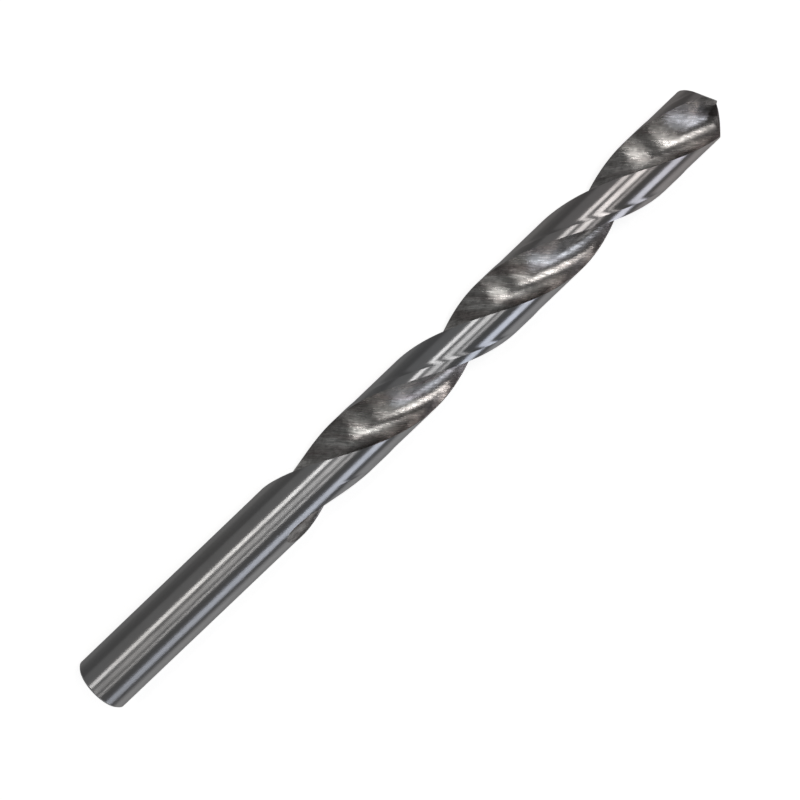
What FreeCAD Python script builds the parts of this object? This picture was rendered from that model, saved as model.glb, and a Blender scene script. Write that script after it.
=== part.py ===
import FreeCAD, Part
import math
import os

# Twist drill bit, one solid piece of ground high-speed steel.
# All sizes are in millimetres and degrees.
# The bit lies along X with its point towards +X, on a surface at Z = 0.

# Overall form
overall_length = 125.3
cutting_diameter = 9.2
shank_diameter = 9.18
shank_end_chamfer = 0.3
shank_shoulder_length = 1.0

# Flutes: right-hand helix, two of them, half a turn apart
flute_count = 2
flute_pitch = 58.9
full_flute_length = 65.6
flute_run_out_length = 23.6
flute_run_out_lean = 23.4
land_angle = 78.7
web_at_point = 1.3
web_at_run_out = 1.8
heel_wall_radius = 2.4

# Lands: a narrow margin at full diameter, the rest cleared
margin_width = 1.3
body_clearance_depth = 0.07
clearance_blend_radius = 7.4
full_clearance_length = 69.0
clearance_run_out_length = 9.0

# Point: two lips, flanks ground as parts of two offset cones
point_angle = 129.0
lip_clearance_angle = 7.5
flank_cone_half_angle = 43.0
flank_cone_reach_past_axis = 4.9

# Which way up the bit has rolled: the angle of one lip's outer corner,
# seen from the shank and counted from +Y towards +Z
outer_corner_roll = 72.0

# How finely the flutes are worked out along the bit and across it
station_spacing = 2.5
run_out_station_spacing = 1.25
wall_point_count = 7

# Values that follow from the sizes
radius = cutting_diameter / 2
axis_height = radius
half_point = math.radians(point_angle / 2)
lip_rise = 1 / math.tan(half_point)
twist_rate = 2 * math.pi / flute_pitch
flute_step = 2 * math.pi / flute_count
flute_opening = flute_step - math.radians(land_angle)
past_the_end = radius / 2
full_flute_start = overall_length - full_flute_length
run_out_start = full_flute_start - flute_run_out_length
full_clearance_start = overall_length - full_clearance_length


def around(distance, angle):
    """A point of a cross-section, from its distance to the axis and its angle."""
    return (distance * math.cos(angle), distance * math.sin(angle))


def turned(point, angle):
    """A point of a cross-section turned about the axis."""
    cosine, sine = math.cos(angle), math.sin(angle)
    return (point[0] * cosine - point[1] * sine, point[0] * sine + point[1] * cosine)


def placed(point, station):
    """A point of a cross-section put in its place along the bit."""
    return FreeCAD.Vector(station - overall_length / 2, point[0], point[1] + axis_height)


def evenly(start, stop, count):
    """Numbers from start to stop, both included, with even steps."""
    return [start + (stop - start) * step / (count - 1) for step in range(count)]


def curve_through(points, parameters):
    """A smooth curve through points at given parameters."""
    curve = Part.BSplineCurve()
    curve.interpolate(Points=list(points), Parameters=list(parameters))
    return curve


def skin(rows, stations):
    """A face through rows of points, one row for each station along the bit."""
    across = evenly(0.0, 1.0, len(rows[0]))
    row_curves = [curve_through(row, across) for row in rows]
    pole_columns = zip(*[curve.getPoles() for curve in row_curves])
    columns = [curve_through(column, stations) for column in pole_columns]
    surface = Part.BSplineSurface()
    surface.buildFromPolesMultsKnots(
        [column.getPoles() for column in columns],
        row_curves[0].getMultiplicities(),
        columns[0].getMultiplicities(),
        row_curves[0].getKnots(),
        columns[0].getKnots(),
        False,
        False,
        row_curves[0].Degree,
        columns[0].Degree,
    )
    return surface.toShape()


def end_cap(walls, station_index):
    """The flat face that closes a void at its first or last station."""
    edges = [curve_through(wall[station_index], evenly(0.0, 1.0, len(wall[station_index])))
             for wall in walls]
    return Part.Face(Part.Wire([edge.toShape() for edge in edges]))


def void(wall_at, stations):
    """A closed solid whose cross-section changes along the bit.

    wall_at gives, for a station, the walls of the section in order, each a list of points.
    """
    sections = [wall_at(station) for station in stations]
    walls = []
    for index in range(len(sections[0])):
        walls.append([[placed(point, station) for point in section[index]]
                      for section, station in zip(sections, stations)])
    faces = [skin(rows, stations) for rows in walls]
    faces.append(end_cap(walls, 0))
    faces.append(end_cap(walls, -1))
    shell = Part.makeShell(faces)
    shell.sewShape()
    solid = Part.Solid(shell)
    if solid.Volume < 0:
        solid.reverse()
    return solid


def stations_along(full_start, run_out_length):
    """Stations of a cut, from just outside the bit where it runs out to past the point."""
    start = full_start - run_out_length * 9 / 8
    end = lip_top_station + 2 * past_the_end
    run_out_steps = max(8, round((full_start - start) / run_out_station_spacing))
    steps = max(8, round((end - full_start) / station_spacing))
    run_out = evenly(start, full_start, run_out_steps + 1)
    return run_out + evenly(full_start, end, steps + 1)[1:]


def corner_angle(station):
    """Angle of the margin's leading edge on its helix."""
    return math.radians(outer_corner_roll) + twist_rate * (station - outer_corner_station)


def web_at(station):
    """Thickness of the web, which grows evenly from the point to the run-out."""
    share = (overall_length - station) / full_flute_length
    return web_at_point + (web_at_run_out - web_at_point) * max(0.0, min(1.0, share))


def run_out_share(station, full_start, run_out_length):
    """How much of a cut's run-out is done, from 0 at full depth to 1 where it ends."""
    return max(0.0, (full_start - station) / run_out_length)


def lip_reach(web):
    """Length of a lip seen end-on, from the middle of the bit to the outer corner."""
    return math.sqrt(radius ** 2 - (web / 2) ** 2)


def flute_section(station, start_angle):
    """Walls of a flute's section: face of the lip, heel side, and a cover outside the bit.

    The face is the curve that makes the lip a straight line once the point is ground on.
    """
    half_web = web_at(station) / 2
    reach = lip_reach(2 * half_web)
    curl = twist_rate * lip_rise
    corner = curl * reach + math.atan2(half_web, reach)
    heel = around(radius, corner + flute_opening)

    face = [turned((along, half_web), curl * along)
            for along in evenly(1.25 * radius, 0.0, wall_point_count)]

    across, up = -heel[0], heel[1] - half_web
    widest_radius = (across ** 2 + up ** 2) / (2 * up)
    fillet = min(heel_wall_radius, 0.95 * widest_radius)
    lift = up - fillet
    span = math.hypot(across, lift)
    sweep = math.atan2(lift, across) + math.asin(fillet / span)
    bottom = [(-fillet * math.sin(turn), half_web + fillet * (1 - math.cos(turn)))
              for turn in evenly(0.0, sweep, wall_point_count)]

    arc_end = bottom[-1]
    outward = (heel[0] - arc_end[0], heel[1] - arc_end[1])
    heel_side_end = (heel[0] + outward[0] / 2, heel[1] + outward[1] / 2)
    heel_side = [arc_end, heel_side_end]

    middle = corner + flute_opening / 2
    peak = around(3 * radius, middle)
    cover = [heel_side_end, peak]
    back = [peak, face[0]]

    share = run_out_share(station, full_flute_start, flute_run_out_length)
    way_out = middle + math.radians(flute_run_out_lean)
    shift = around((radius - half_web) * share ** 3, way_out)
    turn = start_angle + corner_angle(station) - corner
    return [[turned((point[0] + shift[0], point[1] + shift[1]), turn) for point in wall]
            for wall in (face, bottom, heel_side, cover, back)]


def clearance_section(station, start_angle):
    """Walls of the space over a land's cleared part: its floor, the blend, and a cover."""
    share = run_out_share(station, full_clearance_start, clearance_run_out_length)
    lift = body_clearance_depth * share ** 3
    floor_radius = radius - body_clearance_depth + lift
    full_floor = radius - body_clearance_depth
    blend_centre = full_floor + clearance_blend_radius
    blend_span = math.acos((radius ** 2 + blend_centre ** 2 - clearance_blend_radius ** 2)
                           / (2 * radius * blend_centre))
    blend_start = -margin_width / radius - blend_span
    floor_start = -math.radians(land_angle) - flute_opening / 8
    floor = [around(floor_radius, angle)
             for angle in evenly(floor_start, blend_start, wall_point_count)]
    turn_at_margin = math.asin(radius * math.sin(blend_span) / clearance_blend_radius)
    blend_sweep = 3.5 * turn_at_margin
    blend = []
    for turn in evenly(0.0, blend_sweep, wall_point_count):
        inward = floor_radius + clearance_blend_radius * (1 - math.cos(turn))
        sideways = clearance_blend_radius * math.sin(turn)
        blend.append(turned((inward, sideways), blend_start))
    far_side = around(1.6 * radius, blend_start + blend_sweep / 4)
    near_side = around(1.6 * radius, floor_start)
    walls = (floor, blend, [blend[-1], far_side], [far_side, near_side], [near_side, floor[0]])
    turn = start_angle + corner_angle(station)
    return [[turned(point, turn) for point in wall] for wall in walls]


def lip_direction():
    """Angle, seen from the shank, of the line from the axis along the first lip."""
    return math.radians(outer_corner_roll) - math.asin(web_at_point / cutting_diameter)


def flank_cone_axes(start_angle):
    """Directions of a flank's lip and of the axis of the cone that the flank is part of."""
    outward = FreeCAD.Vector(0, *around(1, lip_direction() + start_angle))
    leading = FreeCAD.Vector(0, *around(1, lip_direction() + start_angle + math.pi / 2))
    forward = FreeCAD.Vector(1, 0, 0)
    clearance = math.radians(lip_clearance_angle)
    cone_half = math.radians(flank_cone_half_angle)
    lip = outward * math.sin(half_point) - forward * math.cos(half_point)
    square_to_lip = outward * math.cos(half_point) + forward * math.sin(half_point)
    flank_normal = square_to_lip * math.cos(clearance) - leading * math.sin(clearance)
    cone_axis = lip * math.cos(cone_half) - flank_normal * math.sin(cone_half)
    return outward, leading, cone_axis


def cone_apex(start_angle, lip_top):
    """Where the cone of a flank has its apex, on the lip's line past the axis."""
    outward, leading, cone_axis = flank_cone_axes(start_angle)
    beside = outward * -flank_cone_reach_past_axis + leading * (web_at_point / 2)
    height = lip_top + flank_cone_reach_past_axis * lip_rise
    return placed((beside.y, beside.z), height)


def chisel_drop():
    """How far the middle of the chisel edge lies below the lips' meeting height."""
    cone_axis = flank_cone_axes(0)[2]
    spread = math.cos(math.radians(flank_cone_half_angle)) ** 2
    from_apex = placed((0, 0), 0) - cone_apex(0, 0)
    forward = FreeCAD.Vector(1, 0, 0)
    square = forward.dot(cone_axis) ** 2 - spread
    linear = from_apex.dot(cone_axis) * forward.dot(cone_axis) - spread * from_apex.dot(forward)
    constant = from_apex.dot(cone_axis) ** 2 - spread * from_apex.dot(from_apex)
    root = math.sqrt(linear ** 2 - square * constant)
    return min((-linear + root) / square, (-linear - root) / square, key=abs) * -1


lip_top_station = overall_length + chisel_drop()
outer_corner_station = lip_top_station - lip_reach(web_at_point) * lip_rise


def flank_void(start_angle):
    """What the grinding of one flank takes off the end of the blank."""
    outward, leading, cone_axis = flank_cone_axes(start_angle)
    depth = cutting_diameter
    block = Part.makeBox(radius + past_the_end + web_at_point / 2, 4 * radius, depth + past_the_end)
    corner = placed((0, 0), lip_top_station - depth)
    corner = corner - outward * (web_at_point / 2) - leading * (2 * radius)
    turned_to_lip = FreeCAD.Rotation(outward, leading, FreeCAD.Vector(1, 0, 0), "ZXY")
    block.Placement = FreeCAD.Placement(corner, turned_to_lip)
    cone_length = 6 * radius
    cone = Part.makeCone(0, cone_length * math.tan(math.radians(flank_cone_half_angle)),
                         cone_length, cone_apex(start_angle, lip_top_station), cone_axis)
    return block.cut(cone)


def make_blank():
    """The turned blank: shank with its chamfered end, shoulder, and body."""
    shank_radius = shank_diameter / 2
    end = lip_top_station + past_the_end
    outline = [
        (0, 0),
        (0, shank_radius - shank_end_chamfer),
        (shank_end_chamfer, shank_radius),
        (run_out_start, shank_radius),
        (run_out_start + shank_shoulder_length, radius),
        (end, radius),
        (end, 0),
        (0, 0),
    ]
    profile = Part.makePolygon([placed((distance, 0), station) for station, distance in outline])
    return Part.Face(profile).revolve(placed((0, 0), 0), FreeCAD.Vector(1, 0, 0), 360)


def make_drill():
    """The finished bit: blank, flutes, cleared lands, ground point."""
    flute_stations = stations_along(full_flute_start, flute_run_out_length)
    clearance_stations = stations_along(full_clearance_start, clearance_run_out_length)
    drill = make_blank()
    for index in range(flute_count):
        start_angle = index * flute_step
        drill = drill.cut(void(lambda station: flute_section(station, start_angle), flute_stations))
    for index in range(flute_count):
        start_angle = index * flute_step
        drill = drill.cut(void(lambda station: clearance_section(station, start_angle), clearance_stations))
    for index in range(flute_count):
        drill = drill.cut(flank_void(index * flute_step))
    solids = sorted(drill.Solids, key=lambda solid: solid.Volume)
    return solids[-1]


if __name__ == "__main__":
    os.makedirs("parts", exist_ok=True)
    drill = make_drill()
    drill.exportStep("parts/drill_bit.step")
    print("valid", drill.isValid(), "solids", len(drill.Solids), "faces", len(drill.Faces))
    print("volume", round(drill.Volume, 2))
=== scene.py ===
import logging
import math
from dataclasses import dataclass, field
from enum import Enum

import bpy
import numpy as np
from mathutils import Matrix, Vector


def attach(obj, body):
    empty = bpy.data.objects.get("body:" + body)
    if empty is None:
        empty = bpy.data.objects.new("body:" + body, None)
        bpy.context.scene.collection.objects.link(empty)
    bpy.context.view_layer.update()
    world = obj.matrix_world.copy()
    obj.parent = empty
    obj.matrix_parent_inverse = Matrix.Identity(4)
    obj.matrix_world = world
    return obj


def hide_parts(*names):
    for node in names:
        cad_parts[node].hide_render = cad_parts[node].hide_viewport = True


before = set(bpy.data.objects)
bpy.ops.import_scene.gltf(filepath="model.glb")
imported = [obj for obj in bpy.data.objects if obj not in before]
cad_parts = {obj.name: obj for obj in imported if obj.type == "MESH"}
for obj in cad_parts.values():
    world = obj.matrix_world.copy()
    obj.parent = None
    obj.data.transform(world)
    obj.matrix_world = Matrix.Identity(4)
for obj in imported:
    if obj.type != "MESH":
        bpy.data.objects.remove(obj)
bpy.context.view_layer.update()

MM = 0.001
BLACK = (0.0, 0.0, 0.0, 1.0)
WARM_LIGHT = (1.0, 0.985, 0.96)
COOL_LIGHT = (0.84, 0.89, 1.0)
LOG = logging.getLogger("drill_bit")

Triple = tuple[float, float, float]
Color = tuple[float, float, float, float]


class Zone(Enum):
    """Which grinding step finished a face of the bit."""

    ROUND = 0
    FLUTE = 1
    POINT = 2
    END = 3

    @property
    def coat(self) -> str:
        """The name of the twisting tree's input for this zone's material."""
        return f"{self.name.title()} finish"


def turned(points: np.ndarray, angle: np.ndarray | float) -> np.ndarray:
    """Turn section points about the axis.

    Args:
        points: Points of a section, one row each.
        angle: One angle, or one for each point, in radians.

    Returns:
        The turned points.
    """
    cosine, sine = np.cos(angle), np.sin(angle)
    return np.stack([points[..., 0] * cosine - points[..., 1] * sine,
                     points[..., 0] * sine + points[..., 1] * cosine], axis=-1)


def on_circle(angles: np.ndarray) -> np.ndarray:
    """Points of the unit circle at some angles, one row each."""
    return np.stack([np.cos(angles), np.sin(angles)], axis=-1)


@dataclass(frozen=True)
class GridSteps:
    """How finely the bit's grid is divided, in millimetres, and how its searches are run."""

    land_columns: int = 24
    blend_columns: int = 8
    margin_columns: int = 18
    wall_columns: int = 56
    wall_samples: int = 900
    face_overrun: float = 1.25
    shank_row_step: float = 1.5
    nose_row_gap: float = 0.01
    nose_rows: int = 10
    nose_rows_length: float = 1.5
    run_out_row_step: float = 0.26
    run_out_overlap: float = 4.0
    body_row_step: float = 0.33
    top_rows: int = 14
    top_rows_share: float = 1.6
    cap_rows: int = 26
    end_ring_shares: tuple[float, ...] = (0.15, 0.4, 0.65, 0.85, 0.97, 1.0)
    search_rounds: int = 40
    nose_search_share: float = 0.125
    ridge_span: tuple[float, float] = (0.2, 0.8)
    ridge_samples: int = 1201
    ridge_ring_share: float = 0.7


@dataclass
class RowMesh:
    """A mesh made row by row, with each face's zone and each point's distance across the flute."""

    columns: int
    vertices: list[Triple] = field(default_factory=list)
    faces: list[tuple[int, ...]] = field(default_factory=list)
    zones: list[int] = field(default_factory=list)
    flute_distance: list[float] = field(default_factory=list)

    def add_row(self, places: np.ndarray, section: np.ndarray, distance: np.ndarray) -> int:
        """Add a row of points.

        Args:
            places: Place of each point along the bit, from the bit's middle, in millimetres.
            section: Place of each point in its section, in millimetres.
            distance: Developed distance of each point across the flute.

        Returns:
            The number of the row's first point.
        """
        begin = len(self.vertices)
        for place, point, value in zip(places, section, distance):
            self.vertices.append((place * MM, point[0] * MM, point[1] * MM))
            self.flute_distance.append(value)
        return begin

    def add_strip(self, low: int, high: int, zones: list[Zone]) -> None:
        """Join two rows with quads.

        Args:
            low: First point of the row nearer the shank's end.
            high: First point of the other row.
            zones: The zone of each column.
        """
        for column in range(self.columns - 1):
            self.faces.append((low + column, low + column + 1, high + column + 1, high + column))
            self.zones.append(zones[column].value)

    def add_fan(self, row: int, centre: float, zone: Zone) -> None:
        """Close a row with triangles to a point on the axis, facing away from the bit's middle.

        Args:
            row: First point of the row.
            centre: Place of the point along the bit, from the bit's middle, in millimetres.
            zone: The zone of the triangles.
        """
        middle = self.add_row([centre], [(0.0, 0.0)], [0.0])
        for column in range(self.columns - 1):
            rim = (row + column, row + column + 1)
            self.faces.append((*rim, middle) if centre > 0 else (middle, *reversed(rim)))
            self.zones.append(zone.value)

    def build(self) -> bpy.types.Mesh:
        """Make the mesh, with the zones and the distances as attributes."""
        mesh = bpy.data.meshes.new("half_bit")
        mesh.from_pydata(self.vertices, [], self.faces)
        finish = mesh.attributes.new("finish", "INT", "FACE")
        finish.data.foreach_set("value", self.zones)
        across = mesh.attributes.new("flute_distance", "FLOAT", "POINT")
        across.data.foreach_set("value", self.flute_distance)
        mesh.update()
        return mesh


@dataclass
class DrillForm:
    """The ground form of the bit, in millimetres from the shank end, worked out section by section.

    A half of the bit, one land and the flute that follows it, is a grid of rows along the bit and
    columns round it. Its sections are kept untwisted, with the land's leading corner at angle zero.
    """

    overall_length: float = 125.3
    cutting_diameter: float = 9.2
    shank_diameter: float = 9.18
    shank_end_chamfer: float = 0.3
    shank_shoulder_length: float = 1.0
    flute_count: int = 2
    flute_pitch: float = 58.9
    full_flute_length: float = 65.6
    flute_run_out_length: float = 23.6
    flute_run_out_lean: float = 23.4
    run_out_power: int = 3
    land_angle: float = 78.7
    web_at_point: float = 1.3
    web_at_run_out: float = 1.8
    heel_wall_radius: float = 2.4
    heel_wall_radius_limit: float = 0.95
    margin_width: float = 1.3
    body_clearance_depth: float = 0.07
    clearance_blend_radius: float = 7.4
    full_clearance_length: float = 69.0
    clearance_run_out_length: float = 9.0
    point_angle: float = 129.0
    lip_clearance_angle: float = 7.5
    flank_cone_half_angle: float = 43.0
    flank_cone_reach_past_axis: float = 4.9
    outer_corner_roll: float = 72.0
    grid: GridSteps = GridSteps()
    radius: float = field(init=False)
    twist_rate: float = field(init=False)
    lip_rise: float = field(init=False)
    flute_opening: float = field(init=False)
    full_flute_start: float = field(init=False)
    full_clearance_start: float = field(init=False)
    run_out_start: float = field(init=False)
    lip_top: float = field(init=False)
    outer_corner_station: float = field(init=False)

    def __post_init__(self) -> None:
        """Work out the values that follow from the sizes."""
        self.radius = self.cutting_diameter / 2
        self.twist_rate = 2 * math.pi / self.flute_pitch
        self.lip_rise = 1 / math.tan(math.radians(self.point_angle / 2))
        self.flute_opening = 2 * math.pi / self.flute_count - math.radians(self.land_angle)
        self.full_flute_start = self.overall_length - self.full_flute_length
        self.full_clearance_start = self.overall_length - self.full_clearance_length
        self.run_out_start = self.full_flute_start - self.flute_run_out_length
        self.lip_top = 0.0
        drop = float(self.flank_height(np.zeros((1, 2)))[0])
        self.lip_top = self.overall_length - drop
        reach = math.sqrt(self.radius ** 2 - (self.web_at_point / 2) ** 2)
        self.outer_corner_station = self.lip_top - reach * self.lip_rise

    def corner_angle(self, station: np.ndarray | float) -> np.ndarray | float:
        """Angle of the first land's leading corner at a station, from +Y towards +Z."""
        past_corner = station - self.outer_corner_station
        return math.radians(self.outer_corner_roll) + self.twist_rate * past_corner

    def flank_height(self, points: np.ndarray) -> np.ndarray:
        """Height of the ground point over places of the end view.

        Args:
            points: Places seen from the shank end, on +Y and +Z from the axis.

        Returns:
            The station at which the lower of the two flank cones lies over each place.
        """
        half_web = self.web_at_point / 2
        half_point = math.radians(self.point_angle / 2)
        clearance = math.radians(self.lip_clearance_angle)
        cone_half = math.radians(self.flank_cone_half_angle)
        spread = math.cos(cone_half) ** 2
        corner_lag = math.asin(self.web_at_point / self.cutting_diameter)
        lip_turn = math.radians(self.outer_corner_roll) - corner_lag
        guess = self.lip_top - np.hypot(points[:, 0], points[:, 1]) * self.lip_rise
        forward = np.array([1.0, 0.0, 0.0])
        heights = []
        for half_turn in (0.0, math.pi):
            angle = lip_turn + half_turn
            outward = np.array([0.0, math.cos(angle), math.sin(angle)])
            leading = np.array([0.0, -math.sin(angle), math.cos(angle)])
            lip = outward * math.sin(half_point) - forward * math.cos(half_point)
            square = outward * math.cos(half_point) + forward * math.sin(half_point)
            normal = square * math.cos(clearance) - leading * math.sin(clearance)
            axis = lip * math.cos(cone_half) - normal * math.sin(cone_half)
            apex = -self.flank_cone_reach_past_axis * outward + half_web * leading
            rise = self.flank_cone_reach_past_axis * self.lip_rise
            apex = apex + forward * (self.lip_top + rise)
            place = np.concatenate([np.zeros((len(points), 1)), points], axis=1) - apex
            second = axis[0] ** 2 - spread
            first = place @ axis * axis[0] - spread * place[:, 0]
            none = (place @ axis) ** 2 - spread * (place ** 2).sum(axis=1)
            root = np.sqrt(np.maximum(first ** 2 - second * none, 0.0))
            both = np.stack([(-first + root) / second, (-first - root) / second])
            nearer = np.abs(both - guess).argmin(axis=0)
            height = both[nearer, np.arange(len(points))]
            heights.append(np.where(points @ outward[1:] > -half_web, height, np.inf))
        return np.minimum(heights[0], heights[1])

    def flute_wall(self, station: float) -> np.ndarray:
        """Dense points of the flute's wall: the face, the rounded bottom and the heel's side.

        Args:
            station: Place along the bit.

        Returns:
            Points from outside the leading corner to past the heel.
        """
        taper = (self.overall_length - station) / self.full_flute_length
        taper = min(1.0, max(0.0, taper))
        half_web = (self.web_at_point + (self.web_at_run_out - self.web_at_point) * taper) / 2
        reach = math.sqrt(self.radius ** 2 - half_web ** 2)
        curl = self.twist_rate * self.lip_rise
        corner = curl * reach + math.atan2(half_web, reach)
        heel_angle = corner + self.flute_opening
        heel = np.array([math.cos(heel_angle), math.sin(heel_angle)]) * self.radius
        across, up = -heel[0], heel[1] - half_web
        widest = self.heel_wall_radius_limit * (across ** 2 + up ** 2) / (2 * up)
        fillet = min(self.heel_wall_radius, widest)
        lift = up - fillet
        sweep = math.atan2(lift, across) + math.asin(fillet / math.hypot(across, lift))
        count = self.grid.wall_samples // 3
        along = np.linspace(self.grid.face_overrun * self.radius, 0.0, count)
        face = turned(np.stack([along, np.full(count, half_web)], axis=-1), curl * along)
        turns = np.linspace(0.0, sweep, count)
        bottom = np.stack([-fillet * np.sin(turns),
                           half_web + fillet * (1 - np.cos(turns))], axis=-1)
        past_heel = heel + (heel - bottom[-1]) / 2
        shares = np.linspace(0.0, 1.0, count)[:, None]
        heel_side = bottom[-1] * (1 - shares) + past_heel * shares
        wall = np.concatenate([face, bottom[1:], heel_side[1:]])
        share = max(0.0, (self.full_flute_start - station) / self.flute_run_out_length)
        way_out = corner + self.flute_opening / 2 + math.radians(self.flute_run_out_lean)
        shift = (self.radius - half_web) * share ** self.run_out_power
        wall = wall + shift * np.array([math.cos(way_out), math.sin(way_out)])
        return turned(wall, -corner)

    def blend_angles(self) -> tuple[float, float]:
        """Angles, from the leading corner, where the blend to the margin begins and ends."""
        full_centre = self.radius - self.body_clearance_depth + self.clearance_blend_radius
        span = math.acos((self.radius ** 2 + full_centre ** 2 - self.clearance_blend_radius ** 2)
                         / (2 * self.radius * full_centre))
        return -self.margin_width / self.radius - span, -self.margin_width / self.radius

    def land_radius(self, angle: np.ndarray, station: float) -> np.ndarray:
        """Distance of a land's ground surface from the axis.

        Args:
            angle: Angles from the land's leading corner on its helix, negative behind it.
            station: Place along the bit.

        Returns:
            The radius at each angle: cleared floor, concave blend, or full margin.
        """
        share = max(0.0, (self.full_clearance_start - station) / self.clearance_run_out_length)
        lift = self.body_clearance_depth * min(1.0, share) ** self.run_out_power
        floor = self.radius - self.body_clearance_depth + lift
        blend_start, blend_end = self.blend_angles()
        centre = floor + self.clearance_blend_radius
        past = np.clip(angle - blend_start, 0.0, blend_end - blend_start)
        square = self.clearance_blend_radius ** 2 - (centre * np.sin(past)) ** 2
        blend = centre * np.cos(past) - np.sqrt(np.maximum(square, 0.0))
        body = np.where(angle < blend_start, floor, np.minimum(blend, self.radius))
        body = np.where(angle > blend_end, self.radius, body)
        step = np.clip((station - self.run_out_start) / self.shank_shoulder_length, 0.0, 1.0)
        return body - (1 - step) * (self.cutting_diameter - self.shank_diameter) / 2

    def land_angles(self, heel: float, lead: float) -> np.ndarray:
        """Angles of a land's columns, from its heel to just behind its leading corner."""
        blend_start, blend_end = self.blend_angles()
        return np.concatenate([
            np.linspace(heel, blend_start, self.grid.land_columns, endpoint=False),
            np.linspace(blend_start, blend_end, self.grid.blend_columns, endpoint=False),
            np.linspace(blend_end, lead, self.grid.margin_columns, endpoint=False)])

    def section(self, station: float, shares: np.ndarray) -> tuple[np.ndarray, np.ndarray]:
        """One half of the section at a station, from the heel of a land to the heel of the next.

        Args:
            station: Place along the bit.
            shares: Where the columns of the flute's wall lie, as shares of its width.

        Returns:
            The points, and for each the developed distance across the flute in millimetres.
        """
        wall = self.flute_wall(station)
        distance = np.hypot(wall[:, 0], wall[:, 1])
        angle = np.unwrap(np.arctan2(wall[:, 1], wall[:, 0]))
        wrapped = np.where(angle > self.flute_opening / 2, angle - math.pi, angle)
        outside = distance - self.land_radius(wrapped, station)
        cut = np.flatnonzero(outside < 0)
        run = np.concatenate([[0.0], np.cumsum(np.hypot(*np.diff(wall, axis=0).T))])

        def crossing(before: int, after: int) -> float:
            """Length along the wall at which it meets the land, between two of its points."""
            share = outside[before] / (outside[before] - outside[after])
            return run[before] + share * (run[after] - run[before])

        first, last = crossing(cut[0] - 1, cut[0]), crossing(cut[-1] + 1, cut[-1])
        places = first + (last - first) * shares
        flute = np.stack([np.interp(places, run, wall[:, 0]),
                          np.interp(places, run, wall[:, 1])], axis=-1)
        lead = math.atan2(flute[0, 1], flute[0, 0])
        heel = math.atan2(flute[-1, 1], flute[-1, 0]) - math.pi
        heel = heel + 2 * math.pi if heel < -1.5 * math.pi else heel
        angles = self.land_angles(heel, lead)
        land = on_circle(angles) * self.land_radius(angles, station)[:, None]
        land[0] = -flute[-1]
        across = np.concatenate([np.zeros(len(land)), places - (first + last) / 2])
        return np.concatenate([land, flute]), across

    def flute_nose(self) -> tuple[float, float]:
        """Where the flute first touches the shank's surface.

        Returns:
            Its station, and its angle from the leading corner's helix.
        """
        low = self.run_out_start - self.flute_run_out_length * self.grid.nose_search_share
        high = self.run_out_start + self.shank_shoulder_length
        for _ in range(self.grid.search_rounds):
            middle = (low + high) / 2
            wall = self.flute_wall(middle)
            distance = np.hypot(wall[:, 0], wall[:, 1])
            touches = distance.min() < self.shank_diameter / 2
            low, high = (low, middle) if touches else (middle, high)
        nearest = wall[distance.argmin()]
        return high, math.atan2(nearest[1], nearest[0])

    def wall_shares(self) -> np.ndarray:
        """Shares for the flute wall's columns, with one on the chisel edge's corner.

        Returns:
            Shares from 0 at the leading corner to 1 at the heel.
        """
        shares = np.linspace(0.0, 1.0, self.grid.wall_columns)
        fine = np.linspace(*self.grid.ridge_span, self.grid.ridge_samples)
        points, _ = self.section(self.lip_top, fine)
        points = points[-len(fine):]
        near = np.hypot(points[:, 0], points[:, 1])
        bearing = np.arctan2(points[:, 1], points[:, 0])
        circle = np.linspace(bearing.min(), bearing.max(), self.grid.ridge_samples)
        ring = on_circle(circle) * near.min() * self.grid.ridge_ring_share
        heights = self.flank_height(turned(ring, self.corner_angle(self.lip_top)))
        ridge = circle[heights.argmax()]
        corner = fine[np.abs(bearing - ridge).argmin()]
        shares[np.abs(shares - corner).argmin()] = corner
        return shares

    def stations(self, nose: float) -> np.ndarray:
        """Stations of the fluted rows, close together where the flutes run out.

        Args:
            nose: Station at which the flutes first touch the shank's surface.

        Returns:
            The stations, up to just under the ground point.
        """
        grid = self.grid
        spread = np.linspace(0.0, 1.0, grid.nose_rows) ** 2
        first = nose + grid.nose_row_gap + spread * grid.nose_rows_length
        run_out = np.arange(first[-1] + grid.run_out_row_step,
                            self.full_flute_start + grid.run_out_overlap, grid.run_out_row_step)
        low = self.lip_top - self.radius * self.lip_rise * grid.top_rows_share
        count = round((low - run_out[-1]) / grid.body_row_step)
        body = np.linspace(run_out[-1], low, count)[1:]
        return np.concatenate([first, run_out, body])

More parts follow.
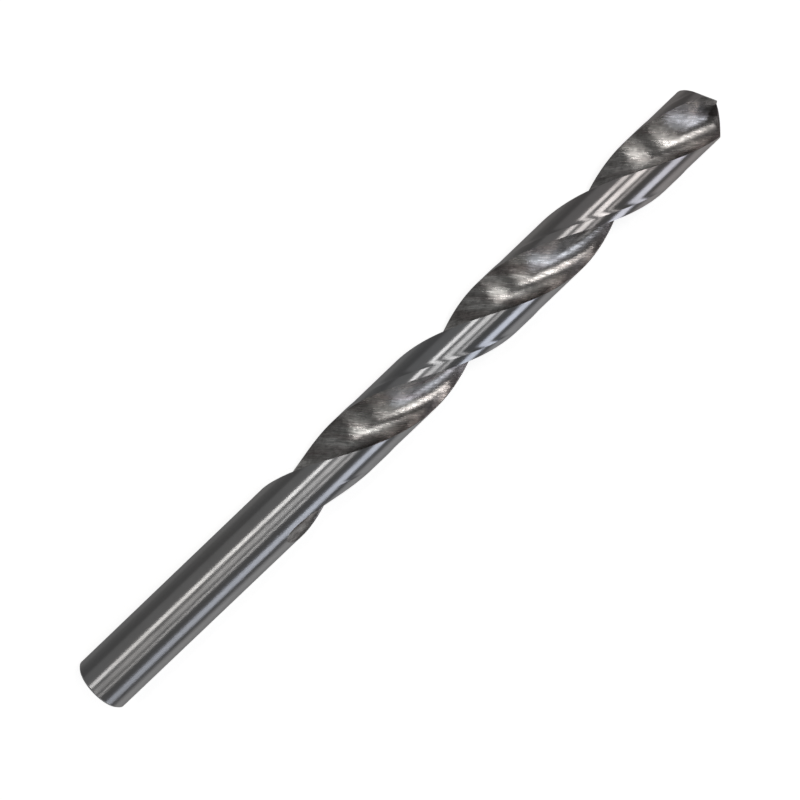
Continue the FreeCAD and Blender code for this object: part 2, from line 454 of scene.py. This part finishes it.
    def rows(self) -> tuple[np.ndarray, np.ndarray, np.ndarray]:
        """All rows of the half bit's outside, from the shank's end to the ground point.

        Returns:
            Stations and untwisted points of each row and column, and the developed flute distances.
        """
        shares = self.wall_shares()
        nose, nose_angle = self.flute_nose()
        fluted = self.stations(nose)
        sections = [self.section(station, shares) for station in fluted]
        low = fluted[-1]
        columns = len(sections[0][0])
        ends = np.full(columns, low)
        for _ in range(self.grid.search_rounds):
            ended = np.array([self.section(end, shares)[0][column]
                              for column, end in enumerate(ends)])
            ends = self.flank_height(turned(ended, self.corner_angle(ends)))
        land = self.land_angles(nose_angle - math.pi, nose_angle)
        land = np.concatenate([land, np.full(columns - len(land), nose_angle)])
        shank_rows = round(nose / self.grid.shank_row_step)
        stations, points, across = [], [], []
        for station in np.linspace(self.shank_end_chamfer, nose, shank_rows):
            angles = land + self.corner_angle(nose) - self.corner_angle(station)
            stations.append(np.full(columns, station))
            points.append(on_circle(angles) * self.shank_diameter / 2)
            across.append(np.zeros(columns))
        for station, (section, distance) in zip(fluted, sections):
            stations.append(np.full(columns, station))
            points.append(section)
            across.append(distance)
        for row in range(1, self.grid.top_rows + 1):
            heights = low + (ends - low) * row / self.grid.top_rows
            cuts = [self.section(height, shares) for height in heights]
            stations.append(heights)
            points.append(np.array([cut[0][column] for column, cut in enumerate(cuts)]))
            across.append(np.array([cut[1][column] for column, cut in enumerate(cuts)]))
        return np.array(stations), np.array(points), np.array(across)

    def half_mesh(self) -> bpy.types.Mesh:
        """The untwisted half of the bit as a mesh, with its zones and flute distances.

        Returns:
            The mesh, in metres, with its axis on X and its middle at the origin.
        """
        stations, points, across = self.rows()
        columns = stations.shape[1]
        mesh = RowMesh(columns)
        middle = self.overall_length / 2
        none = np.zeros(columns)
        rim = self.shank_diameter / 2
        shank_end = points[0] * (rim - self.shank_end_chamfer) / rim
        rings = [mesh.add_row(none - middle, shank_end * share, none)
                 for share in self.grid.end_ring_shares]
        mesh.add_fan(rings[0], -middle, Zone.END)
        body = [mesh.add_row(station - middle, section, distance)
                for station, section, distance in zip(stations, points, across)]
        rings.append(body[0])
        for low, high in zip(rings[:-1], rings[1:]):
            mesh.add_strip(low, high, [Zone.END] * columns)
        walls = self.grid.wall_columns
        fluted = [Zone.ROUND] * (columns - walls) + [Zone.FLUTE] * walls
        for low, high in zip(body[:-1], body[1:]):
            mesh.add_strip(low, high, fluted)
        outline = turned(points[-1], self.corner_angle(stations[-1]))
        last = body[-1]
        for row in range(1, self.grid.cap_rows):
            ring = outline * (1 - row / self.grid.cap_rows)
            height = self.flank_height(ring)
            height[0] = height[-1] = min(height[0], height[-1])
            untwisted = turned(ring, -self.corner_angle(height))
            begin = mesh.add_row(height - middle, untwisted, none)
            mesh.add_strip(last, begin, [Zone.POINT] * columns)
            last = begin
        mesh.add_fan(last, middle, Zone.POINT)
        return mesh.build()


class Nodes:
    """A node tree under construction, with short ways to add and join its nodes."""

    def __init__(self, tree: bpy.types.NodeTree) -> None:
        """Start work on a tree."""
        self.tree = tree

    def add(self, kind: str, feeds: dict[int | str, object] | None = None,
            **settings: object) -> bpy.types.NodeOutputs:
        """Add a node.

        Args:
            kind: The node's type.
            feeds: Its inputs, each a value or another node's output, by number or name.
            settings: Its properties.

        Returns:
            The node's outputs.
        """
        node = self.tree.nodes.new(kind)
        for key, value in settings.items():
            setattr(node, key, value)
        for key, value in (feeds or {}).items():
            if isinstance(value, bpy.types.NodeSocket):
                self.tree.links.new(value, node.inputs[key])
            else:
                node.inputs[key].default_value = value
        return node.outputs

    def math(self, operation: str, first: object, second: object) -> bpy.types.NodeSocket:
        """Add a math node and return its result."""
        return self.add("ShaderNodeMath", {0: first, 1: second}, operation=operation)[0]


@dataclass
class TwistTree:
    """The node tree that twists half a bit into its helix and repeats it round the axis."""

    name: str = "twist_and_repeat"
    merge_distance: float = 2e-7

    def build(self) -> bpy.types.NodeTree:
        """Build the tree.

        Returns:
            The node tree, with named inputs for the helix and one material for each zone.
        """
        tree = bpy.data.node_groups.new(self.name, "GeometryNodeTree")
        inputs = [("Half bit", "Geometry"), ("Flute count", "Int"), ("Flute pitch", "Float"),
                  ("Corner roll", "Float"), ("Corner place", "Float"), ("Axis height", "Float")]
        inputs += [(zone.coat, "Material") for zone in Zone]
        for label, kind in inputs:
            tree.interface.new_socket(label, in_out="INPUT", socket_type=f"NodeSocket{kind}")
        tree.interface.new_socket("Bit", in_out="OUTPUT", socket_type="NodeSocketGeometry")
        nodes = Nodes(tree)
        given = nodes.add("NodeGroupInput")

        position = nodes.add("GeometryNodeInputPosition")[0]
        place = nodes.add("ShaderNodeSeparateXYZ", {0: position})[0]
        past_corner = nodes.math("SUBTRACT", place, given["Corner place"])
        turns = nodes.math("DIVIDE", past_corner, given["Flute pitch"])
        helix = nodes.math("MULTIPLY", turns, 2 * math.pi)
        angle = nodes.math("ADD", helix, given["Corner roll"])
        twist = nodes.add("ShaderNodeVectorRotate", rotation_type="X_AXIS",
                          feeds={"Vector": position, "Angle": angle})[0]
        twisted = nodes.add("GeometryNodeSetPosition",
                            {"Geometry": given["Half bit"], "Position": twist})[0]

        step = nodes.math("DIVIDE", 2 * math.pi, given["Flute count"])
        around = nodes.math("MULTIPLY", nodes.add("GeometryNodeInputIndex")[0], step)
        halves = nodes.add("GeometryNodeInstanceOnPoints", {
            "Points": nodes.add("GeometryNodePoints", {"Count": given["Flute count"]})[0],
            "Instance": twisted, "Rotation": nodes.add("ShaderNodeCombineXYZ", {0: around})[0]})[0]
        whole = nodes.add("GeometryNodeRealizeInstances", {0: halves})[0]
        joined = nodes.add("GeometryNodeMergeByDistance",
                           {0: whole, "Distance": self.merge_distance})[0]
        lift = nodes.add("ShaderNodeCombineXYZ", {2: given["Axis height"]})[0]
        raised = nodes.add("GeometryNodeSetPosition", {"Geometry": joined, "Offset": lift})[0]
        last = nodes.add("GeometryNodeSetShadeSmooth", {0: raised})[0]

        finish = nodes.add("GeometryNodeInputNamedAttribute", {"Name": "finish"}, data_type="INT")
        for zone in Zone:
            same = nodes.add("FunctionNodeCompare", {2: finish["Attribute"], 3: zone.value},
                             data_type="INT", operation="EQUAL")[0]
            last = nodes.add("GeometryNodeSetMaterial", {
                "Geometry": last, "Selection": same, "Material": given[zone.coat]})[0]
        nodes.add("NodeGroupOutput", {0: last})
        return tree


@dataclass(frozen=True)
class Grain:
    """One texture of grinding lines: its scales, how deep it is cut, and its stretch by axis."""

    fine_scale: float
    cloud_scale: float
    fine_share: float
    strength: float
    depth: float
    stretch: Triple = (1.0, 1.0, 1.0)


@dataclass(frozen=True)
class Ramp:
    """A straight way from a start to a stop level, while a value goes from low to high."""

    low: float
    high: float
    start: float
    stop: float


@dataclass(frozen=True)
class GrainGroup:
    """A shader group: fine grinding lines drawn out along one direction of a given place."""

    name: str = "grinding_lines"
    coarse_share: float = 0.31
    fine_detail: float = 4.0
    coarse_detail: float = 2.0
    cloud_detail: float = 3.0

    def build(self) -> bpy.types.NodeTree:
        """Build the group once, or find it.

        Returns:
            The group, which puts out a height and a slow, cloudy mask.
        """
        if self.name in bpy.data.node_groups:
            return bpy.data.node_groups[self.name]
        group = bpy.data.node_groups.new(self.name, "ShaderNodeTree")
        for label, way, kind in (("Place", "INPUT", "Vector"), ("Fine scale", "INPUT", "Float"),
                                 ("Cloud scale", "INPUT", "Float"),
                                 ("Fine share", "INPUT", "Float"), ("Height", "OUTPUT", "Float"),
                                 ("Cloud", "OUTPUT", "Float")):
            group.interface.new_socket(label, in_out=way, socket_type=f"NodeSocket{kind}")
        nodes = Nodes(group)
        given = nodes.add("NodeGroupInput")
        coarse_scale = nodes.math("MULTIPLY", given["Fine scale"], self.coarse_share)
        fine, coarse, cloud = (
            nodes.add("ShaderNodeTexNoise",
                      {"Vector": given["Place"], "Scale": scale, "Detail": detail})[0]
            for scale, detail in ((given["Fine scale"], self.fine_detail),
                                  (coarse_scale, self.coarse_detail),
                                  (given["Cloud scale"], self.cloud_detail)))
        height = nodes.add("ShaderNodeMix", {0: given["Fine share"], 2: coarse, 3: fine})[0]
        nodes.add("NodeGroupOutput", {"Height": height, "Cloud": cloud})
        return group


class Shader(Nodes):
    """A material under construction."""

    def __init__(self, name: str) -> None:
        """Start an empty node material of this name."""
        self.material = bpy.data.materials.new(name)
        self.material.use_nodes = True
        super().__init__(self.material.node_tree)
        self.tree.nodes.clear()

    def ramp(self, value: object, ramp: Ramp) -> bpy.types.NodeSocket:
        """Map a value by a ramp, held at its ends, and return the result."""
        levels = {1: ramp.low, 2: ramp.high, 3: ramp.start, 4: ramp.stop}
        return self.add("ShaderNodeMapRange", {0: value, **levels})[0]

    def mix_color(self, share: object, first: object, second: object) -> bpy.types.NodeSocket:
        """Mix two colours by a share and return the result."""
        return self.add("ShaderNodeMix", {0: share, 6: first, 7: second}, data_type="RGBA")[2]

    def place(self, stretch: Triple) -> bpy.types.NodeSocket:
        """Object coordinates multiplied by a number for each axis."""
        where = self.add("ShaderNodeTexCoord")["Object"]
        return self.add("ShaderNodeMapping", {"Vector": where, "Scale": stretch})[0]

    def axis_places(self) -> bpy.types.NodeOutputs:
        """The object coordinates on X, Y and Z, one output each."""
        return self.add("ShaderNodeSeparateXYZ", {0: self.add("ShaderNodeTexCoord")["Object"]})

    def grain(self, grain: Grain, place: object = None) -> bpy.types.NodeOutputs:
        """Add the grinding lines' group.

        Args:
            grain: The lines' scales.
            place: Where the lines are read, if not at the stretched object coordinates.

        Returns:
            The group's outputs, Height and Cloud.
        """
        return self.add("ShaderNodeGroup", node_tree=GrainGroup().build(), feeds={
            "Place": self.place(grain.stretch) if place is None else place,
            "Fine scale": grain.fine_scale, "Cloud scale": grain.cloud_scale,
            "Fine share": grain.fine_share})

    def bump(self, height: object, grain: Grain, **normal: object) -> bpy.types.NodeSocket:
        """Add a bump node over a grain's height, on another Normal if it is given one."""
        return self.add("ShaderNodeBump", {"Strength": grain.strength, "Distance": grain.depth,
                                           "Height": height, **normal})[0]

    def metal(self, edge: Triple = (1.0, 1.0, 1.0), **looks: object) -> bpy.types.Material:
        """Add the metal shader and the output, and return the finished material.

        Args:
            edge: The metal's colour at a grazing angle.
            looks: Its other inputs, by their names with underscores.
        """
        feeds = {name.replace("_", " "): value for name, value in looks.items()}
        metal = self.add("ShaderNodeBsdfPrincipled",
                         {"Metallic": 1.0, "Specular Tint": (*edge, 1.0), **feeds})[0]
        self.add("ShaderNodeOutputMaterial", {"Surface": metal})
        return self.material


@dataclass(frozen=True)
class RoundGrind:
    """Cylindrically ground steel of shank, lands and margins: grinding lines run round the bit."""

    color: Color = (0.47, 0.466, 0.464, 1.0)
    cool_color: Color = (0.43, 0.44, 0.46, 1.0)
    cool_clouds: Ramp = Ramp(0.35, 0.65, 0.0, 1.0)
    point_color: Color = (0.48, 0.45, 0.445, 1.0)
    point_rise: Ramp = Ramp(0.015, 0.05, 0.0, 1.0)
    rings: Grain = Grain(9000.0, 260.0, 0.55, 0.10, 0.00002, (1.0, 0.05, 0.05))
    waves: Grain = Grain(240.0, 60.0, 0.5, 0.14, 0.0002, (0.35, 1.0, 1.0))
    roughness: Ramp = Ramp(0.3, 0.7, 0.31, 0.37)
    stretch: float = 0.97
    edge: Triple = (0.58, 0.58, 0.58)

    def material(self) -> bpy.types.Material:
        """Build the material, a little cooler in clouds and warmer towards the point."""
        shader = Shader("ground_round_steel")
        rings, waves = shader.grain(self.rings), shader.grain(self.waves)
        cool = shader.ramp(waves["Cloud"], self.cool_clouds)
        near_point = shader.ramp(shader.axis_places()[0], self.point_rise)
        color = shader.mix_color(cool, self.color, self.cool_color)
        color = shader.mix_color(near_point, color, self.point_color)
        waved = shader.bump(waves["Height"], self.waves)
        normal = shader.bump(rings["Height"], self.rings, Normal=waved)
        return shader.metal(
            self.edge, Base_Color=color, Roughness=shader.ramp(rings["Cloud"], self.roughness),
            Anisotropic=self.stretch, Normal=normal,
            Tangent=shader.add("ShaderNodeCombineXYZ", {0: 1.0})[0])


@dataclass(frozen=True)
class FluteGrind:
    """Steel of the flutes: coarse wheel marks slant across the wall.

    It is stained darker in clouds, over heel_stain's millimetres across the flute towards the heel,
    and over point_stain's millimetres from the bit's middle towards the point.
    """

    color: Color = (0.72, 0.712, 0.695, 1.0)
    stain: Color = (0.42, 0.368, 0.358, 1.0)
    cloud_stain: Ramp = Ramp(0.42, 0.68, 0.0, 0.9)
    heel_stain: Ramp = Ramp(1.0, 4.0, 0.0, 0.9)
    point_stain: Ramp = Ramp(25.0, 60.0, 0.0, 0.4)
    marks: Grain = Grain(4.0, 0.6, 0.5, 1.0, 0.07 * MM)
    mark_angle: float = 47.0
    mark_squeeze: float = 0.16
    mark_shade: Ramp = Ramp(0.36, 0.62, 0.55, 1.0)
    mottle_stretch: Triple = (0.8, 1.0, 1.0)
    mottle_scale: float = 1500.0
    mottle_detail: float = 3.0
    mottle_shade: Ramp = Ramp(0.36, 0.56, 0.72, 1.0)
    roughness: Ramp = Ramp(0.3, 0.7, 0.34, 0.22)
    stretch: float = 0.97
    shine_angle: float = 38.0
    edge: Triple = (0.3, 0.3, 0.3)

    def material(self) -> bpy.types.Material:
        """Build the material."""
        shader = Shader("ground_flute_steel")
        along = shader.math("MULTIPLY", shader.axis_places()[0], 1 / MM)
        distance = shader.add("ShaderNodeAttribute", attribute_name="flute_distance")["Fac"]
        angle = math.radians(self.mark_angle)
        cosine, sine = math.cos(angle), math.sin(angle)
        lengthwise = shader.math("ADD", shader.math("MULTIPLY", along, cosine),
                                 shader.math("MULTIPLY", distance, sine))
        crosswise = shader.math("SUBTRACT", shader.math("MULTIPLY", distance, cosine),
                                shader.math("MULTIPLY", along, sine))
        squeezed = shader.math("MULTIPLY", lengthwise, self.mark_squeeze)
        spot = shader.add("ShaderNodeCombineXYZ", {0: squeezed, 1: crosswise})[0]
        marks = shader.grain(self.marks, spot)
        stained = shader.math("MAXIMUM", shader.ramp(marks["Cloud"], self.cloud_stain),
                              shader.ramp(distance, self.heel_stain))
        stained = shader.math("MAXIMUM", stained, shader.ramp(along, self.point_stain))
        mottle = shader.add("ShaderNodeTexNoise", {
            "Vector": shader.place(self.mottle_stretch), "Scale": self.mottle_scale,
            "Detail": self.mottle_detail})[0]
        shade = shader.math("MULTIPLY", shader.ramp(marks["Height"], self.mark_shade),
                            shader.ramp(mottle, self.mottle_shade))
        color = shader.mix_color(stained, self.color, self.stain)
        tangent = shader.add("ShaderNodeVectorRotate", rotation_type="AXIS_ANGLE", feeds={
            "Vector": (1.0, 0.0, 0.0), "Angle": math.radians(90.0 - self.shine_angle),
            "Axis": shader.add("ShaderNodeNewGeometry")["Normal"]})[0]
        return shader.metal(
            self.edge, Base_Color=shader.mix_color(shade, BLACK, color),
            Roughness=shader.ramp(marks["Height"], self.roughness), Anisotropic=self.stretch,
            Normal=shader.bump(marks["Height"], self.marks), Tangent=tangent)


@dataclass(frozen=True)
class PlainGrind:
    """Finely ground flat steel, as on the point's flanks and the shank's end."""

    name: str
    color: Color
    dark_share: float = 0.8
    lines: Grain = Grain(6000.0, 400.0, 0.6, 0.3, 0.00002, (0.2, 1.0, 0.15))
    roughness: Ramp = Ramp(0.3, 0.7, 0.31, 0.41)
    stretch: float = 0.3

    def material(self) -> bpy.types.Material:
        """Build the material."""
        shader = Shader(self.name)
        lines = shader.grain(self.lines)
        dark = tuple(channel * self.dark_share for channel in self.color[:3]) + (1.0,)
        return shader.metal(
            Base_Color=shader.mix_color(lines["Cloud"], self.color, dark),
            Roughness=shader.ramp(lines["Height"], self.roughness), Anisotropic=self.stretch,
            Normal=shader.bump(lines["Height"], self.lines))


@dataclass
class DrillBit:
    """The bit itself: one ground piece that stands for the CAD solid."""

    form: DrillForm = field(default_factory=DrillForm)
    sharp_edge_angle: float = 9.0
    flank_color: Color = (0.52, 0.52, 0.53, 1.0)
    shank_end_color: Color = (0.3, 0.3, 0.31, 1.0)

    def twist_inputs(self) -> dict[str, object]:
        """What the twisting tree is given, by its inputs' names."""
        form = self.form
        finishes = {Zone.ROUND: RoundGrind(), Zone.FLUTE: FluteGrind(),
                    Zone.POINT: PlainGrind("ground_point_steel", self.flank_color),
                    Zone.END: PlainGrind("turned_end_steel", self.shank_end_color)}
        values = {
            "Flute count": form.flute_count,
            "Flute pitch": form.flute_pitch * MM,
            "Corner roll": math.radians(form.outer_corner_roll),
            "Corner place": (form.outer_corner_station - form.overall_length / 2) * MM,
            "Axis height": form.radius * MM,
        }
        for zone, finish in finishes.items():
            values[zone.coat] = finish.material()
        return values

    def build(self) -> bpy.types.Object:
        """Build the bit's mesh and dress it.

        Returns:
            The finished piece, riding on the bit's only body.
        """
        holder = bpy.data.objects.new("half_bit", self.form.half_mesh())
        bpy.context.scene.collection.objects.link(holder)
        modifier = holder.modifiers.new("twist", "NODES")
        modifier.node_group = TwistTree().build()
        values = self.twist_inputs()
        for item in modifier.node_group.interface.items_tree:
            if item.in_out == "INPUT" and item.name in values:
                modifier[item.identifier] = values[item.name]
        depsgraph = bpy.context.evaluated_depsgraph_get()
        mesh = bpy.data.meshes.new_from_object(
            holder.evaluated_get(depsgraph), preserve_all_data_layers=True, depsgraph=depsgraph)
        mesh.name = "bit"
        mesh.set_sharp_from_angle(angle=math.radians(self.sharp_edge_angle))
        bpy.data.objects.remove(holder)
        piece = bpy.data.objects.new("bit", mesh)
        bpy.context.scene.collection.objects.link(piece)
        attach(piece, "root")
        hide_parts("drill_bit")
        return piece


@dataclass
class PictureView:
    """The camera over the bit, and directions as they look in its picture."""

    focal_pixels: float = 1235.0
    picture_pixels: float = 800.0
    sensor_width: float = 36.0
    clip: tuple[float, float] = (0.01, 20.0)
    aim: Triple = (-0.40, -0.01, 4.6)
    distance: float = 182.3
    tilt: float = 3.31
    picture_turn: float = 43.66

    def directions(self) -> tuple[Vector, Vector, Vector]:
        """Directions in the picture: towards the bit's point, across the bit, and to the camera."""
        tilt = math.radians(self.tilt)
        return (Vector((math.cos(tilt), 0.0, -math.sin(tilt))), Vector((0.0, 1.0, 0.0)),
                Vector((math.sin(tilt), 0.0, math.cos(tilt))))

    def build(self) -> bpy.types.Object:
        """Make the scene's camera."""
        data = bpy.data.cameras.new("picture_camera")
        data.sensor_width = self.sensor_width
        data.lens = self.focal_pixels / self.picture_pixels * self.sensor_width
        data.clip_start, data.clip_end = self.clip
        camera = bpy.data.objects.new("picture_camera", data)
        along, across, back = self.directions()
        turn = math.radians(self.picture_turn)
        right = along * math.cos(turn) - across * math.sin(turn)
        up = along * math.sin(turn) + across * math.cos(turn)
        place = Matrix((right, up, back)).transposed().to_4x4()
        place.translation = (Vector(self.aim) + back * self.distance) * MM
        camera.matrix_world = place
        bpy.context.scene.collection.objects.link(camera)
        bpy.context.scene.camera = camera
        return camera

    def towards(self, across_bit: float, along_bit: float) -> Vector:
        """The direction at angles across and along the bit from the camera's direction.

        Args:
            across_bit: Degrees towards the picture's lower right.
            along_bit: Degrees towards the point of the bit.

        Returns:
            A unit vector.
        """
        along, across, back = self.directions()
        turn, lean = math.radians(across_bit), math.radians(along_bit)
        square = back * math.cos(turn) - across * math.sin(turn)
        return square * math.cos(lean) + along * math.sin(lean)


@dataclass(frozen=True)
class Softbox:
    """One rectangular studio light. Its place and its size are in degrees, as the bit sees them."""

    name: str
    across_bit: float
    along_bit: float
    width: float
    length: float
    radiance: float
    color: Triple = (1.0, 1.0, 1.0)
    distance: float = 0.7

    def build(self, view: PictureView) -> bpy.types.Object:
        """Make the light, facing the bit with its length along it."""
        data = bpy.data.lights.new(self.name, "AREA")
        data.shape = "RECTANGLE"
        data.size = 2 * self.distance * math.tan(math.radians(self.length / 2))
        data.size_y = 2 * self.distance * math.tan(math.radians(self.width / 2))
        data.energy = self.radiance * math.pi * data.size * data.size_y
        data.color = self.color
        light = bpy.data.objects.new(self.name, data)
        back = view.towards(self.across_bit, self.along_bit)
        flat = Vector((1.0, 0.0, 0.0))
        flat = (flat - back * flat.dot(back)).normalized()
        place = Matrix((flat, back.cross(flat), back)).transposed().to_4x4()
        place.translation = back * self.distance
        light.matrix_world = place
        bpy.context.scene.collection.objects.link(light)
        return light


@dataclass
class Studio:
    """Pale floor, soft lights and the room round them.

    The floor that the bit mirrors and that lights it is darker in front of the bit and behind it,
    by two ramps over the floor's Y in metres: painted shade, with a painted shadow of the bit on
    +Y.
    """

    floor_half_width: float = 3.0
    floor_color: Color = (0.8, 0.8, 0.8, 1.0)
    # painted shade on the floor the bit mirrors: darker far out on -Y, and a painted shadow of the
    # bit on +Y
    front_painted_shade: Ramp = Ramp(-0.060, -0.016, 0.12, 0.80)
    back_painted_shadow: Ramp = Ramp(-0.004, 0.024, 1.0, 0.28)
    picture_glow: float = 0.80
    mirrored_glow: float = 0.225
    shadow_share: float = 0.60
    room_level: float = 0.12
    softboxes: tuple[Softbox, ...] = (
        Softbox("left_softbox", -20.5, -7.0, 12.0, 24.0, 5.4, WARM_LIGHT),
        Softbox("right_softbox", 5.0, 24.0, 15.0, 24.0, 6.0, WARM_LIGHT),
        Softbox("low_softbox", 25.0, -5.0, 8.0, 20.0, 2.8, WARM_LIGHT),
        Softbox("wall_glow", -50.0, 5.0, 36.0, 90.0, 0.11),
        Softbox("window", 69.0, 9.0, 22.0, 44.0, 2.1, COOL_LIGHT))

    def floor_material(self) -> bpy.types.Material:
        """Build the floor's material: white in the picture but for a faint shadow."""
        shader = Shader("pale_floor")
        path = shader.add("ShaderNodeLightPath")
        seen = path["Is Camera Ray"]
        mirrored = shader.math("MAXIMUM", path["Is Glossy Ray"], path["Is Transmission Ray"])
        place = shader.axis_places()[1]
        # painted shade: for all but camera rays the floor is darker on both sides of the bit, with
        # a painted shadow of the bit on +Y; it also dims the floor's mirrored glow
        painted_floor_shade = shader.math("MULTIPLY", shader.ramp(place, self.front_painted_shade),
                           shader.ramp(place, self.back_painted_shadow))
        mirrored_glow = shader.math("MULTIPLY", painted_floor_shade, self.mirrored_glow)
        strength = shader.math("ADD", shader.math("MULTIPLY", seen, self.picture_glow),
                               shader.math("MULTIPLY", mirrored, mirrored_glow))
        dim = (*(channel * self.shadow_share for channel in self.floor_color[:3]), 1.0)
        # the floor's colour for all but camera rays carries the painted shade and painted shadow
        colors = (shader.mix_color(painted_floor_shade, BLACK, self.floor_color), dim)
        plain, faint = (shader.add("ShaderNodeBsdfDiffuse", {"Color": color})[0]
                        for color in colors)
        lit = shader.add("ShaderNodeMixShader", {0: seen, 1: plain, 2: faint})[0]
        glow = shader.add("ShaderNodeEmission", {"Strength": strength})[0]
        shown = shader.add("ShaderNodeAddShader", {0: lit, 1: glow})[0]
        shader.add("ShaderNodeOutputMaterial", {"Surface": shown})
        return shader.material

    def floor(self) -> None:
        """Make the floor."""
        half = self.floor_half_width
        corners = [(-half, -half, 0.0), (half, -half, 0.0), (half, half, 0.0), (-half, half, 0.0)]
        mesh = bpy.data.meshes.new("floor")
        mesh.from_pydata(corners, [], [(0, 1, 2, 3)])
        mesh.materials.append(self.floor_material())
        floor = bpy.data.objects.new("floor", mesh)
        bpy.context.scene.collection.objects.link(floor)

    def room(self) -> None:
        """Make the room: grey where it lights the bit, white where the camera sees it."""
        world = bpy.data.worlds.new("room")
        world.use_nodes = True
        nodes = Nodes(world.node_tree)
        nodes.tree.nodes.clear()
        grey, white = (nodes.add("ShaderNodeBackground", {"Color": (level, level, level, 1.0)})[0]
                       for level in (self.room_level, 1.0))
        seen = nodes.add("ShaderNodeLightPath")["Is Camera Ray"]
        mixed = nodes.add("ShaderNodeMixShader", {0: seen, 1: grey, 2: white})[0]
        nodes.add("ShaderNodeOutputWorld", {"Surface": mixed})
        bpy.context.scene.world = world

    def build(self, view: PictureView) -> list[bpy.types.Object]:
        """Build floor, room and lights, and return the lights."""
        self.floor()
        self.room()
        return [softbox.build(view) for softbox in self.softboxes]


def main() -> None:
    """Build the bit, then the camera and the studio round it."""
    logging.basicConfig(level=logging.INFO)
    bpy.context.scene.view_settings.view_transform = "Standard"
    bit = DrillBit().build()
    LOG.info("%s: %d faces", bit.name, len(bit.data.polygons))
    view = PictureView()
    LOG.info("camera: %s", view.build().name)
    for light in Studio().build(view):
        LOG.info("light: %s", light.name)


if __name__ == "__main__":
    main()
